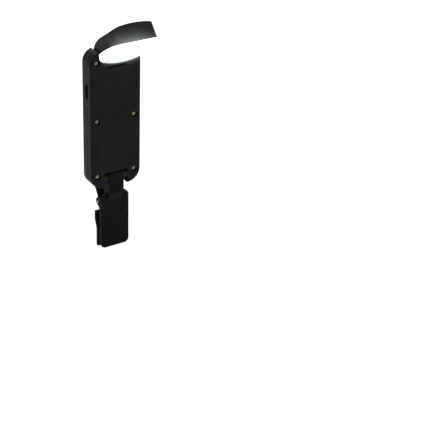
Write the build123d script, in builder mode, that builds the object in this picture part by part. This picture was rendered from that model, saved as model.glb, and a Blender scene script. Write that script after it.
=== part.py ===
from build123d import *
import math
import os

os.makedirs("parts", exist_ok=True)

# The light stands upright on its clip. The origin is the middle of the grip pads,
# +Z points up the slab, and -Y is the side with the screws, where the lamp leans out.

# Slab: the flat housing
SLAB_W = 38.2
SLAB_H = 101.4
SLAB_T = 12.6
SLAB_BOTTOM = 40.6
FRONT_Y = -6.0
WALL = 1.6
REAR_WALL = 1.4
LOWER_CORNER_R = 10.0
EAR_CORNER_R = 9.0
EDGE_R = 1.5
SEAM = 0.25
LEFT = -SLAB_W / 2
RIGHT = SLAB_W / 2
TOP = SLAB_BOTTOM + SLAB_H
BACK_Y = FRONT_Y + SLAB_T
PARTING_Y = 0.0
COVER_DEPTH = PARTING_Y - FRONT_Y
CAVITY_FRONT_Y = FRONT_Y + WALL
CAVITY_BACK_Y = BACK_Y - REAR_WALL

# Lamp head: everything is set out from its hinge axis, reach along the head and
# rise square to it, with the head leaning up at the angle seen in the photograph.
# The hinge axis lies in the parting plane of the slab.
HEAD_ANGLE = 42.0
HINGE_DROP = 4.7
HINGE_Z = TOP - HINGE_DROP
EAR_W = 6.6
HEAD_GAP = 0.4
BARREL_R = 4.6
CURL_T = 0.9
TROUGH_GAP = 0.4
TROUGH_R = BARREL_R + TROUGH_GAP
HEAD_REACH = 34.0
HEAD_INSET = 0.5
FREE_CORNER_R = 2.7
EAR_SIDE_CORNER_R = 6.2
HOOD_WALL = 1.4
PANEL_T = 1.0
EAR_INNER = LEFT + EAR_W
HEAD_LEFT = EAR_INNER + HEAD_GAP
HEAD_RIGHT = RIGHT - HEAD_INSET
HEAD_W = HEAD_RIGHT - HEAD_LEFT
HEAD_MID = (HEAD_LEFT + HEAD_RIGHT) / 2
SCOOP_LOW_Z = HINGE_Z - TROUGH_R
SCOOP_FILLET = 5.4
SCOOP_PEAK = 1.9
PIN_R = 1.4
PIN_LEFT = LEFT + 3.0
RUN_GAP = 0.05
FIT_GAP = 0.02

# Screws
SCREW_INSET = 4.9
SCREW_X = SLAB_W / 2 - SCREW_INSET
SCREW_HEAD_R = 1.35
SCREW_HEAD_T = 0.9
SCREW_POCKET_R = 2.1
SHANK_R = 0.8
BOSS_R = 2.5
EAR_SCREW_DROP = 7.6
MID_SCREW_DROP = 50.0
LOW_SCREW_DROP = 91.5
SCREW_SPOTS = [(-SCREW_X, TOP - EAR_SCREW_DROP)]
SCREW_SPOTS += [(side * SCREW_X, TOP - drop) for drop in (MID_SCREW_DROP, LOW_SCREW_DROP) for side in (-1, 1)]
SCREW_END_Y = CAVITY_BACK_Y - 0.6

# Electronics bay
CAVITY_TOP = SCOOP_LOW_Z - 1.0
CLIP_X = -0.4
RECESS_W = 18.6
RECESS_H = 11.5
RECESS_BACK = 3.2
RECESS_TOP = SLAB_BOTTOM + RECESS_H
CAVITY_BOTTOM = RECESS_TOP + 1.5
SLOT_W = 14.6
SLOT_H = 1.9
SLOT_X = 1.05
SLOT_Z = CAVITY_TOP - 0.1 - SLOT_H / 2
SLOT_GAP = 0.2
BUTTON_SINK = 0.4
PLATE_T = 1.2
PLATE_H = 6.6
PORT_DROP = 28.6
PORT_Z = TOP - PORT_DROP
PORT_W = 8.94
PORT_T = 3.26
PORT_L = 7.3
PORT_SINK = 0.9
WINDOW_W = 10.8
WINDOW_T = 3.7
LAMP_DROP = 38.2
LAMP_Z = TOP - LAMP_DROP
PIPE_R = 0.75
BOARD_T = 1.0
BOARD_W = SLAB_W - 2 * WALL - 1.8
BOARD_H = 32.0
BOARD_Y = PARTING_Y + PORT_T / 2
BOARD_TOP = CAVITY_TOP - 2.3
BATTERY_W = SLAB_W - 2 * WALL - 8.0
BATTERY_H = 32.0
BATTERY_T = 5.0
TAPE_T = 0.5
BATTERY_Z = CAVITY_BOTTOM + 1.0 + BATTERY_H / 2

# Clip
TILT_Y = FRONT_Y + 3.0
TILT_Z = SLAB_BOTTOM + 6.5
TILT_PIN_R = 1.0
TILT_PIN_L = 25.0
KNUCKLE_R = 4.0
NECK_W = 11.2
BUSH_R = 2.8
JAW_W = 22.0
JAW_T = 2.4
JAW_DROP = 8.0
SHOULDER_Z = 34.0
PAD_GAP = 0.3
PAD_T = 1.05
PAD_W = 18.0
PAD_H = 12.0
JAW_AXIS_Y = 3.5
JAW_AXIS_Z = 26.0
JAW_PIN_R = 1.0
JAW_EAR_R = 3.0
JAW_EAR_T = 2.0
JAW_EAR_X = 8.5
LEVER_T = 2.2
LUG_T = 2.0
SIDE_GAP = 0.4
LEVER_W = 2 * (JAW_EAR_X - JAW_EAR_T / 2 - SIDE_GAP)
FRONT_JAW_Y = -PAD_GAP / 2 - PAD_T
REAR_JAW_Y = PAD_GAP / 2 + PAD_T
WIRE_R = 0.35
COIL_R = 2.0
COIL_PITCH = 1.2
COIL_TURNS = 3
COIL_STEPS = 14


# Outline of the slab seen from the front, before the lamp's scoop is cut
with BuildSketch() as slab_outline:
    with Locations((0, SLAB_BOTTOM + SLAB_H / 2)):
        Rectangle(SLAB_W, SLAB_H)
    fillet(slab_outline.vertices().group_by(Axis.Y)[0], LOWER_CORNER_R)
    fillet(slab_outline.vertices().group_by(Axis.Y)[-1].sort_by(Axis.X)[0], EAR_CORNER_R)

# Scoop at the top that leaves one ear and lets the lit panel show
with BuildSketch() as scoop:
    with BuildLine():
        Polyline(
            (EAR_INNER, SCOOP_LOW_Z + 3.0),
            (EAR_INNER, TOP + 1),
            (RIGHT + 1, TOP + 1),
            (RIGHT + 1, SCOOP_LOW_Z + SCOOP_PEAK),
            (RIGHT, SCOOP_LOW_Z + SCOOP_PEAK),
        )
        ThreePointArc(
            (RIGHT, SCOOP_LOW_Z + SCOOP_PEAK),
            (LEFT + 0.62 * SLAB_W, SCOOP_LOW_Z),
            (EAR_INNER, SCOOP_LOW_Z + 3.0),
        )
    make_face()
    fillet(scoop.vertices().group_by(Axis.X)[0].sort_by(Axis.Y)[0], SCOOP_FILLET)

# Front cover: the deep half of the slab, with the face that carries the screws
with BuildPart() as front_cover:
    with BuildSketch(Plane.XZ.offset(-PARTING_Y)):
        add(slab_outline.sketch)
    extrude(amount=COVER_DEPTH)
    fillet(front_cover.faces().sort_by(Axis.Y)[0].edges(), EDGE_R)
    chamfer(front_cover.faces().sort_by(Axis.Y)[-1].edges(), SEAM)
    with BuildSketch(Plane.XZ.offset(-PARTING_Y)):
        add(scoop.sketch)
    extrude(amount=COVER_DEPTH, mode=Mode.SUBTRACT)
    with BuildSketch(Plane.YZ.offset(EAR_INNER)):
        with Locations((0, HINGE_Z)):
            Circle(TROUGH_R)
    extrude(amount=SLAB_W, mode=Mode.SUBTRACT)
    # electronics bay, with the two screw bosses left standing in it
    with BuildSketch(Plane.XZ.offset(-PARTING_Y)):
        with Locations((0, (CAVITY_TOP + CAVITY_BOTTOM) / 2)):
            RectangleRounded(SLAB_W - 2 * WALL, CAVITY_TOP - CAVITY_BOTTOM, 1.5)
        with Locations([(side * SCREW_X, TOP - MID_SCREW_DROP) for side in (-1, 1)]):
            Circle(BOSS_R, mode=Mode.SUBTRACT)
    extrude(amount=PARTING_Y - CAVITY_FRONT_Y, mode=Mode.SUBTRACT)
    # recess for the neck of the clip, open to the front and below
    with BuildSketch(Plane.XZ.offset(-PARTING_Y)):
        with Locations((CLIP_X, RECESS_TOP - RECESS_H)):
            RectangleRounded(RECESS_W, 2 * RECESS_H, 1.2)
    extrude(amount=COVER_DEPTH, mode=Mode.SUBTRACT)
    # slot of the switch bar
    with BuildSketch(Plane.XZ.offset(-CAVITY_FRONT_Y)):
        with Locations((SLOT_X, SLOT_Z)):
            SlotOverall(SLOT_W, SLOT_H)
    extrude(amount=WALL, mode=Mode.SUBTRACT)
    # half of the charging window and of the hole for the charge light
    with BuildSketch(Plane.YZ.offset(LEFT)):
        with Locations((PARTING_Y, PORT_Z)):
            SlotOverall(WINDOW_W, WINDOW_T, rotation=90)
        with Locations((PARTING_Y, LAMP_Z)):
            Circle(PIPE_R + FIT_GAP)
    extrude(amount=WALL, mode=Mode.SUBTRACT)
    # saddle for the lamp's hinge pin, and slots that the neck pin drops into from behind
    with BuildSketch(Plane.YZ.offset(PIN_LEFT)):
        with Locations((0, HINGE_Z)):
            Circle(PIN_R + FIT_GAP)
    extrude(amount=EAR_INNER - PIN_LEFT, mode=Mode.SUBTRACT)
    with BuildSketch(Plane.YZ.offset(CLIP_X)):
        with Locations((TILT_Y, TILT_Z)):
            Circle(TILT_PIN_R + FIT_GAP)
        with Locations(((TILT_Y + PARTING_Y) / 2, TILT_Z)):
            Rectangle(PARTING_Y - TILT_Y, 2 * (TILT_PIN_R + FIT_GAP))
    extrude(amount=TILT_PIN_L / 2, both=True, mode=Mode.SUBTRACT)
    # pockets and clearance holes of the five screws
    with BuildSketch(Plane.XZ.offset(-CAVITY_FRONT_Y)):
        with Locations(SCREW_SPOTS):
            Circle(SCREW_POCKET_R)
    extrude(amount=WALL, mode=Mode.SUBTRACT)
    with BuildSketch(Plane.XZ.offset(-PARTING_Y)):
        with Locations(SCREW_SPOTS):
            Circle(SHANK_R + 0.1)
    extrude(amount=COVER_DEPTH, mode=Mode.SUBTRACT)
front_cover.part.label = "front_cover"
export_step(front_cover.part, "parts/front_cover.step")

# Rear shell: the shallow half, screwed on from the front
with BuildPart() as rear_shell:
    with BuildSketch(Plane.XZ.offset(-BACK_Y)):
        add(slab_outline.sketch)
    extrude(amount=BACK_Y - PARTING_Y)
    fillet(rear_shell.faces().sort_by(Axis.Y)[-1].edges(), min(EDGE_R, REAR_WALL - 0.1))
    chamfer(rear_shell.faces().sort_by(Axis.Y)[0].edges(), SEAM)
    with BuildSketch(Plane.XZ.offset(-BACK_Y)):
        with Locations((EAR_INNER + SLAB_W / 2, SCOOP_LOW_Z + SLAB_W / 2)):
            Rectangle(SLAB_W, SLAB_W)
    extrude(amount=SLAB_T, mode=Mode.SUBTRACT)
    with BuildSketch(Plane.XZ.offset(-CAVITY_BACK_Y)):
        with Locations((0, (CAVITY_TOP + CAVITY_BOTTOM) / 2)):
            RectangleRounded(SLAB_W - 2 * WALL, CAVITY_TOP - CAVITY_BOTTOM, 1.5)
        with Locations([(side * SCREW_X, TOP - MID_SCREW_DROP) for side in (-1, 1)]):
            Circle(BOSS_R, mode=Mode.SUBTRACT)
    extrude(amount=SLAB_T, mode=Mode.SUBTRACT)
    with BuildSketch(Plane.XZ.offset(RECESS_BACK - BACK_Y)):
        with Locations((CLIP_X, RECESS_TOP - RECESS_H)):
            RectangleRounded(RECESS_W, 2 * RECESS_H, 1.2)
    extrude(amount=SLAB_T, mode=Mode.SUBTRACT)
    with BuildSketch(Plane.YZ.offset(LEFT)):
        with Locations((PARTING_Y, PORT_Z)):
            SlotOverall(WINDOW_W, WINDOW_T, rotation=90)
        with Locations((PARTING_Y, LAMP_Z)):
            Circle(PIPE_R + FIT_GAP)
    extrude(amount=WALL, mode=Mode.SUBTRACT)
    # low ribs that the circuit board lies on
    with BuildSketch(Plane.XZ.offset(-BOARD_Y - BOARD_T)):
        with Locations([(side * BOARD_W / 3, BOARD_TOP - BOARD_H / 2) for side in (-1, 1)]):
            Rectangle(1.2, BOARD_H - 4)
    extrude(amount=BOARD_Y + BOARD_T - CAVITY_BACK_Y)
    # other half of the saddle, and the tongues that close the slots of the neck pin
    with BuildSketch(Plane.YZ.offset(PIN_LEFT)):
        with Locations((0, HINGE_Z)):
            Circle(PIN_R + FIT_GAP)
    extrude(amount=EAR_INNER - PIN_LEFT, mode=Mode.SUBTRACT)
    with BuildSketch(Plane.XZ.offset(-PARTING_Y)):
        with Locations([(CLIP_X + side * (RECESS_W + TILT_PIN_L) / 4, TILT_Z) for side in (-1, 1)]):
            Rectangle(TILT_PIN_L / 2 - RECESS_W / 2 - 2 * FIT_GAP, 2 * TILT_PIN_R)
    extrude(amount=PARTING_Y - TILT_Y - TILT_PIN_R - FIT_GAP)
    # pilot holes of the screws
    with BuildSketch(Plane.XZ.offset(-SCREW_END_Y)):
        with Locations(SCREW_SPOTS):
            Circle(SHANK_R + FIT_GAP)
    extrude(amount=SCREW_END_Y - PARTING_Y, mode=Mode.SUBTRACT)
rear_shell.part.label = "rear_shell"
export_step(rear_shell.part, "parts/rear_shell.step")

# Five small cross-head screws
with BuildPart() as cover_screws:
    with BuildSketch(Plane.XZ.offset(-CAVITY_FRONT_Y)):
        with Locations(SCREW_SPOTS):
            Circle(SCREW_HEAD_R)
    extrude(amount=SCREW_HEAD_T)
    chamfer(cover_screws.faces().group_by(Axis.Y)[0].edges(), 0.2)
    with BuildSketch(Plane.XZ.offset(-CAVITY_FRONT_Y)):
        with Locations(SCREW_SPOTS):
            Circle(SHANK_R)
    extrude(amount=CAVITY_FRONT_Y - SCREW_END_Y)
    with BuildSketch(Plane.XZ.offset(-CAVITY_FRONT_Y + SCREW_HEAD_T)):
        with Locations(SCREW_SPOTS):
            Rectangle(SCREW_HEAD_R * 1.1, 0.4)
            Rectangle(0.4, SCREW_HEAD_R * 1.1)
    extrude(amount=-0.6, mode=Mode.SUBTRACT)
cover_screws.part.label = "cover_screws"
export_step(cover_screws.part, "parts/cover_screws.step")

# Circuit board that carries the charger, the port and the switch
with BuildPart() as main_board:
    with BuildSketch(Plane.XZ.offset(-BOARD_Y - BOARD_T)):
        with Locations((0, BOARD_TOP - BOARD_H / 2)):
            RectangleRounded(BOARD_W, BOARD_H, 1.0)
    extrude(amount=BOARD_T)
main_board.part.label = "main_board"
export_step(main_board.part, "parts/main_board.step")

# Charger chip, coil and a row of small parts on the board
with BuildPart() as board_chips:
    with BuildSketch(Plane.XZ.offset(-BOARD_Y)):
        with Locations((0.1 * BOARD_W, BOARD_TOP - 0.44 * BOARD_H)):
            Rectangle(5.0, 5.0)
        with Locations([((0.1 + 0.1 * step) * BOARD_W, BOARD_TOP - 0.66 * BOARD_H) for step in (-1, 0, 1)]):
            Rectangle(1.2, 2.0)
    extrude(amount=0.9)
    with BuildSketch(Plane.XZ.offset(-BOARD_Y)):
        with Locations((0.35 * BOARD_W, BOARD_TOP - 0.44 * BOARD_H)):
            RectangleRounded(4.0, 4.0, 0.6)
    extrude(amount=2.0)
board_chips.part.label = "board_chips"
export_step(board_chips.part, "parts/board_chips.step")

# Metal shell of the charging socket
with BuildPart() as port_shell:
    with BuildSketch(Plane.YZ.offset(LEFT + PORT_SINK)):
        with Locations((PARTING_Y, PORT_Z)):
            SlotOverall(PORT_W, PORT_T, rotation=90)
    extrude(amount=PORT_L)
    with BuildSketch(Plane.YZ.offset(LEFT + PORT_SINK)):
        with Locations((PARTING_Y, PORT_Z)):
            SlotOverall(PORT_W - 0.6, PORT_T - 0.6, rotation=90)
    extrude(amount=PORT_L - 0.6, mode=Mode.SUBTRACT)
port_shell.part.label = "port_shell"
export_step(port_shell.part, "parts/port_shell.step")

# Contact tongue inside the socket
with BuildPart() as port_tongue:
    with BuildSketch(Plane.YZ.offset(LEFT + PORT_SINK + 0.8)):
        with Locations((PARTING_Y, PORT_Z)):
            Rectangle(0.7, PORT_W - 2.3)
    extrude(amount=PORT_L - 0.6 - 0.8)
port_tongue.part.label = "port_tongue"
export_step(port_tongue.part, "parts/port_tongue.step")

# Charge light on the board, facing the small hole in the side
with BuildPart() as charge_led:
    with BuildSketch(Plane.XZ.offset(-BOARD_Y)):
        with Locations((-BOARD_W / 2 + 1.2, LAMP_Z)):
            Rectangle(1.2, 2.4)
    extrude(amount=BOARD_Y - PARTING_Y + PIPE_R)
charge_led.part.label = "charge_led"
export_step(charge_led.part, "parts/charge_led.step")

# Light pipe that fills the small hole
with BuildPart() as light_pipe:
    with BuildSketch(Plane.YZ.offset(LEFT + 0.1)):
        with Locations((PARTING_Y, LAMP_Z)):
            Circle(PIPE_R)
    extrude(amount=SLAB_W / 2 - BOARD_W / 2 + 0.6 - 0.1)
    with BuildSketch(Plane.YZ.offset(LEFT + WALL)):
        with Locations((PARTING_Y, LAMP_Z)):
            Circle(PIPE_R + 0.5)
    extrude(amount=0.5)
light_pipe.part.label = "light_pipe"
export_step(light_pipe.part, "parts/light_pipe.step")

# Push switch on the board
with BuildPart() as tact_switch:
    with BuildSketch(Plane.XZ.offset(-BOARD_Y)):
        with Locations((SLOT_X, BOARD_TOP - 2.6)):
            Rectangle(4.5, 4.5)
    extrude(amount=2.5)
    with BuildSketch(Plane.XZ.offset(-BOARD_Y + 1.3)):
        with Locations((SLOT_X, BOARD_TOP - 2.6)):
            Circle(1.1)
    extrude(amount=1.2, mode=Mode.SUBTRACT)
tact_switch.part.label = "tact_switch"
export_step(tact_switch.part, "parts/tact_switch.step")

# Plunger of the push switch, moved by the bar
with BuildPart() as switch_plunger:
    with BuildSketch(Plane.XZ.offset(-BOARD_Y + 2.0)):
        with Locations((SLOT_X, BOARD_TOP - 2.6)):
            Circle(1.0)
    extrude(amount=1.8)
switch_plunger.part.label = "switch_plunger"
export_step(switch_plunger.part, "parts/switch_plunger.step")

# Slim switch bar in the slot, on a plate that the cover holds back
with BuildPart() as switch_bar:
    with BuildSketch(Plane.XZ.offset(-CAVITY_FRONT_Y)):
        with Locations((SLOT_X, SLOT_Z)):
            SlotOverall(SLOT_W - 2 * SLOT_GAP, SLOT_H - 2 * SLOT_GAP)
    extrude(amount=WALL - BUTTON_SINK)
    chamfer(switch_bar.faces().sort_by(Axis.Y)[0].edges(), 0.2)
    with BuildSketch(Plane.XZ.offset(-CAVITY_FRONT_Y - PLATE_T)):
        with Locations((SLOT_X, SLOT_Z + SLOT_H / 2 - SLOT_GAP - PLATE_H / 2)):
            RectangleRounded(SLOT_W + 4.0, PLATE_H, 0.6)
    extrude(amount=PLATE_T)
    with BuildSketch(Plane.XZ.offset(-BOARD_Y + 3.8)):
        with Locations((SLOT_X, BOARD_TOP - 2.6)):
            Circle(1.5)
    extrude(until=Until.NEXT)
switch_bar.part.label = "switch_bar"
export_step(switch_bar.part, "parts/switch_bar.step")

# Battery and the foam tape that holds it to the rear shell
with BuildPart() as battery:
    with BuildSketch(Plane.XZ.offset(-CAVITY_BACK_Y + TAPE_T)):
        with Locations((0, BATTERY_Z)):
            Rectangle(BATTERY_W, BATTERY_H)
    extrude(amount=BATTERY_T)
    fillet(battery.edges().filter_by(Axis.Z), 1.2)
battery.part.label = "battery"
export_step(battery.part, "parts/battery.step")

with BuildPart() as battery_tape:
    with BuildSketch(Plane.XZ.offset(-CAVITY_BACK_Y)):
        with Locations((0, BATTERY_Z)):
            Rectangle(BATTERY_W - 6.0, BATTERY_H - 6.0)
    extrude(amount=TAPE_T)
battery_tape.part.label = "battery_tape"
export_step(battery_tape.part, "parts/battery_tape.step")

# Hinge pin of the lamp head, laid in the ear and clamped by the ear screw
with BuildPart() as head_pin:
    with BuildSketch(Plane.YZ.offset(PIN_LEFT)):
        with Locations((0, HINGE_Z)):
            Circle(PIN_R)
    extrude(amount=HEAD_RIGHT - 2.0 - PIN_LEFT)
    chamfer(head_pin.edges().filter_by(GeomType.CIRCLE), 0.2)
head_pin.part.label = "head_pin"
export_step(head_pin.part, "parts/head_pin.step")

# Directions of the lamp head: reach runs out along it, rise points to its back
REACH = Vector(0, -math.cos(math.radians(HEAD_ANGLE)), math.sin(math.radians(HEAD_ANGLE)))
SIDE_PLANE = Plane(origin=(HEAD_RIGHT, 0, HINGE_Z), x_dir=REACH, z_dir=(-1, 0, 0))
RISE = SIDE_PLANE.y_dir
# reach, rise of the side edges and crown between them, at four stations of the hood
HOOD_STATIONS = ((0.0, BARREL_R, 0.2), (7.0, 7.1, 0.5), (20.0, 6.6, 1.1), (HEAD_REACH + 1, 5.4, 1.9))
RIM_HEEL = (9.3, -1.3)
RIM_MID = (21.0, -2.9)
RIM_TIP = (HEAD_REACH, -5.7)
CORE_R = BARREL_R - CURL_T
HEEL_ANGLE = -14.0
CURL_END = -132.0
HEEL = (CORE_R * math.cos(math.radians(HEEL_ANGLE)), CORE_R * math.sin(math.radians(HEEL_ANGLE)))
LED_BOARD_RISE = 2.6
LED_BOARD_T = 1.0
LED_BOARD_L = 18.0
BOARD_REACH = 20.5
RIB_X = 7.0
RIB_T = 1.2
SLEEVE_L = 7.5
SLEEVE_R = 2.3

# Outline of the head seen from above it, rounded most at the corner on the ear's side
with BuildSketch() as head_plan:
    with Locations((HEAD_MID, BARREL_R / 2 - HEAD_REACH / 2)):
        Rectangle(HEAD_W, HEAD_REACH + BARREL_R)
    fillet(head_plan.vertices().group_by(Axis.Y)[0].sort_by(Axis.X)[0], EAR_SIDE_CORNER_R)
    fillet(head_plan.vertices().group_by(Axis.Y)[0].sort_by(Axis.X)[-1], FREE_CORNER_R)
PLAN_PLANE = Plane(origin=Vector(0, 0, HINGE_Z) - RISE * 15, x_dir=(1, 0, 0), z_dir=RISE)

# Space inside the hood, less two ribs for the LED board
with BuildPart() as hood_space:
    for reach, rise, crown in HOOD_STATIONS:
        with BuildSketch(Plane(origin=Vector(HEAD_MID, 0, HINGE_Z) + REACH * reach, x_dir=(1, 0, 0), z_dir=REACH)):
            with BuildLine():
                Polyline(
                    (-HEAD_W / 2 + HOOD_WALL, rise - HOOD_WALL),
                    (-HEAD_W / 2 + HOOD_WALL, -9.0),
                    (HEAD_W / 2 - HOOD_WALL, -9.0),
                    (HEAD_W / 2 - HOOD_WALL, rise - HOOD_WALL),
                )
                ThreePointArc(
                    (HEAD_W / 2 - HOOD_WALL, rise - HOOD_WALL),
                    (0, rise + crown - HOOD_WALL),
                    (-HEAD_W / 2 + HOOD_WALL, rise - HOOD_WALL),
                )
            make_face()
    loft()
    with BuildSketch(SIDE_PLANE):
        with Locations((BARREL_R + 3.0 + HEAD_REACH / 2, 0)):
            Rectangle(HEAD_REACH, 30.0)
    extrude(amount=HEAD_W, mode=Mode.INTERSECT)
    with BuildSketch(PLAN_PLANE):
        add(head_plan.sketch)
        offset(amount=-HOOD_WALL, mode=Mode.REPLACE)
    extrude(amount=30, mode=Mode.INTERSECT)
    for rib in (-RIB_X, RIB_X):
        with BuildSketch(SIDE_PLANE.offset(HEAD_W / 2 + rib - RIB_T / 2)):
            with Locations((BOARD_REACH, LED_BOARD_RISE + LED_BOARD_T + 5.0)):
                Rectangle(LED_BOARD_L, 10.0)
        extrude(amount=RIB_T, mode=Mode.SUBTRACT)

# Lamp hood: arched and crowned, with the hinge barrel at its foot
with BuildPart() as lamp_hood:
    for reach, rise, crown in HOOD_STATIONS:
        with BuildSketch(Plane(origin=Vector(HEAD_MID, 0, HINGE_Z) + REACH * reach, x_dir=(1, 0, 0), z_dir=REACH)):
            with BuildLine():
                Polyline((-HEAD_W / 2, rise), (-HEAD_W / 2, -9.0), (HEAD_W / 2, -9.0), (HEAD_W / 2, rise))
                ThreePointArc((HEAD_W / 2, rise), (0, rise + crown), (-HEAD_W / 2, rise))
            make_face()
    loft()
    with BuildSketch(SIDE_PLANE):
        with BuildLine():
            Polyline(RIM_TIP, (RIM_TIP[0], 14.0), (0, 14.0), (0, HEEL[1]), HEEL, RIM_HEEL)
            ThreePointArc(RIM_HEEL, RIM_MID, RIM_TIP)
        make_face()
    extrude(amount=HEAD_W, mode=Mode.INTERSECT)
    with BuildSketch(PLAN_PLANE):
        add(head_plan.sketch)
    extrude(amount=30, mode=Mode.INTERSECT)
    add(hood_space.part, mode=Mode.SUBTRACT)
    with BuildSketch(SIDE_PLANE):
        Circle(CORE_R)
        with BuildLine():
            CenterArc((0, 0), BARREL_R, 60.0, 360.0 + CURL_END - 60.0)
            Line((0, 0), (BARREL_R * math.cos(math.radians(60)), BARREL_R * math.sin(math.radians(60))))
            Line((0, 0), (BARREL_R * math.cos(math.radians(CURL_END)), BARREL_R * math.sin(math.radians(CURL_END))))
        make_face()
    extrude(amount=HEAD_W)
    with BuildSketch(Plane.YZ.offset(HEAD_LEFT)):
        with Locations((0, HINGE_Z)):
            Circle(PIN_R + RUN_GAP)
    extrude(amount=HEAD_W - 1.5, mode=Mode.SUBTRACT)
    with BuildSketch(Plane.YZ.offset(HEAD_LEFT)):
        with Locations((0, HINGE_Z)):
            Circle(SLEEVE_R)
    extrude(amount=SLEEVE_L + 0.6, mode=Mode.SUBTRACT)
lamp_hood.part.label = "lamp_hood"
export_step(lamp_hood.part, "parts/lamp_hood.step")

# Lit panel: a plate over the whole underside that curls round the barrel
with BuildPart() as light_panel:
    with BuildSketch(SIDE_PLANE):
        with BuildLine():
            Line(RIM_TIP, (RIM_TIP[0], RIM_TIP[1] - PANEL_T))
            ThreePointArc(
                (RIM_TIP[0], RIM_TIP[1] - PANEL_T),
                (RIM_MID[0], RIM_MID[1] - PANEL_T),
                (RIM_HEEL[0], RIM_HEEL[1] - PANEL_T),
            )
            Polyline(
                (RIM_HEEL[0], RIM_HEEL[1] - PANEL_T),
                (BARREL_R * math.cos(math.radians(24)), -BARREL_R * math.sin(math.radians(24))),
                HEEL,
                RIM_HEEL,
            )
            ThreePointArc(RIM_HEEL, RIM_MID, RIM_TIP)
        make_face()
        with BuildLine():
            CenterArc((0, 0), BARREL_R, CURL_END, HEEL_ANGLE - CURL_END)
            CenterArc((0, 0), CORE_R, CURL_END, HEEL_ANGLE - CURL_END)
            for angle in (math.radians(CURL_END), math.radians(HEEL_ANGLE)):
                Line(
                    (CORE_R * math.cos(angle), CORE_R * math.sin(angle)),
                    (BARREL_R * math.cos(angle), BARREL_R * math.sin(angle)),
                )
        make_face()
    extrude(amount=HEAD_W)
    with BuildSketch(PLAN_PLANE):
        add(head_plan.sketch)
    extrude(amount=30, mode=Mode.INTERSECT)
light_panel.part.label = "light_panel"
export_step(light_panel.part, "parts/light_panel.step")

# LED board, lying flat against the ribs of the hood
with BuildPart() as led_board:
    with BuildSketch(Plane(origin=Vector(HEAD_MID, 0, HINGE_Z) + RISE * LED_BOARD_RISE, x_dir=(1, 0, 0), z_dir=RISE)):
        with Locations((0, -BOARD_REACH)):
            RectangleRounded(HEAD_W - 2 * HOOD_WALL - 1.0, LED_BOARD_L, 3.0)
    extrude(amount=LED_BOARD_T)
led_board.part.label = "led_board"
export_step(led_board.part, "parts/led_board.step")

# LED chips on the side of the board that faces the lit panel
with BuildPart() as led_chips:
    with BuildSketch(Plane(origin=Vector(HEAD_MID, 0, HINGE_Z) + RISE * LED_BOARD_RISE, x_dir=(1, 0, 0), z_dir=RISE)):
        with Locations((0, -BOARD_REACH)):
            with GridLocations(0.21 * HEAD_W, 0.3 * LED_BOARD_L, 4, 3):
                Rectangle(3.5, 2.8)
    extrude(amount=-0.8)
led_chips.part.label = "led_chips"
export_step(led_chips.part, "parts/led_chips.step")

# Split friction sleeve, pressed into the barrel and gripping the pin
with BuildPart() as friction_sleeve:
    with BuildSketch(Plane.YZ.offset(HEAD_LEFT + 0.6)):
        with Locations((0, HINGE_Z)):
            Circle(SLEEVE_R)
            Circle(PIN_R + FIT_GAP, mode=Mode.SUBTRACT)
        with Locations((0, HINGE_Z + SLEEVE_R)):
            Rectangle(0.8, 2 * SLEEVE_R, mode=Mode.SUBTRACT)
    extrude(amount=SLEEVE_L)
friction_sleeve.part.label = "friction_sleeve"
export_step(friction_sleeve.part, "parts/friction_sleeve.step")

# Clip frame: knuckle, neck, upper jaw and the two ears of the jaw pin
with BuildPart() as clip_frame:
    with BuildSketch(Plane.YZ.offset(CLIP_X)):
        with Locations((TILT_Y, TILT_Z)):
            Circle(KNUCKLE_R)
        with BuildLine():
            Polyline(
                (TILT_Y - KNUCKLE_R, TILT_Z),
                (TILT_Y - KNUCKLE_R, SHOULDER_Z + 2.0),
                (FRONT_JAW_Y - JAW_T, SHOULDER_Z - 6.0),
                (FRONT_JAW_Y, SHOULDER_Z - 6.0),
                (TILT_Y + KNUCKLE_R, SHOULDER_Z - 1.0),
                (TILT_Y + KNUCKLE_R, TILT_Z),
                close=True,
            )
        make_face()
    extrude(amount=NECK_W / 2, both=True)
    with BuildSketch(Plane.XZ.offset(-FRONT_JAW_Y)):
        with Locations((0, (SHOULDER_Z - JAW_DROP) / 2)):
            RectangleRounded(JAW_W, SHOULDER_Z + JAW_DROP, 3.5)
    extrude(amount=JAW_T)
    for side in (-1, 1):
        with BuildSketch(Plane.YZ.offset(side * JAW_EAR_X)):
            with Locations((JAW_AXIS_Y, JAW_AXIS_Z)):
                Circle(JAW_EAR_R)
            with Locations(((FRONT_JAW_Y + JAW_AXIS_Y) / 2, JAW_AXIS_Z)):
                Rectangle(JAW_AXIS_Y - FRONT_JAW_Y, 2 * JAW_EAR_R)
        extrude(amount=JAW_EAR_T / 2, both=True)
    with BuildSketch(Plane.YZ):
        with Locations((TILT_Y, TILT_Z)):
            Circle(TILT_PIN_R + RUN_GAP)
        with Locations((JAW_AXIS_Y, JAW_AXIS_Z)):
            Circle(JAW_PIN_R + FIT_GAP)
    extrude(amount=JAW_W, both=True, mode=Mode.SUBTRACT)
clip_frame.part.label = "clip_frame"
export_step(clip_frame.part, "parts/clip_frame.step")

# Pin of the neck, held in the slab
with BuildPart() as neck_pin:
    with BuildSketch(Plane.YZ.offset(CLIP_X)):
        with Locations((TILT_Y, TILT_Z)):
            Circle(TILT_PIN_R)
    extrude(amount=TILT_PIN_L / 2, both=True)
neck_pin.part.label = "neck_pin"
export_step(neck_pin.part, "parts/neck_pin.step")

# Two friction bushes beside the knuckle
with BuildPart() as neck_bushes:
    for side in (-1, 1):
        with BuildSketch(Plane.YZ.offset(CLIP_X + side * NECK_W / 2)):
            with Locations((TILT_Y, TILT_Z)):
                Circle(BUSH_R)
                Circle(TILT_PIN_R + RUN_GAP, mode=Mode.SUBTRACT)
        extrude(amount=side * ((RECESS_W - NECK_W) / 2 - PAD_GAP))
neck_bushes.part.label = "neck_bushes"
export_step(neck_bushes.part, "parts/neck_bushes.step")

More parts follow.
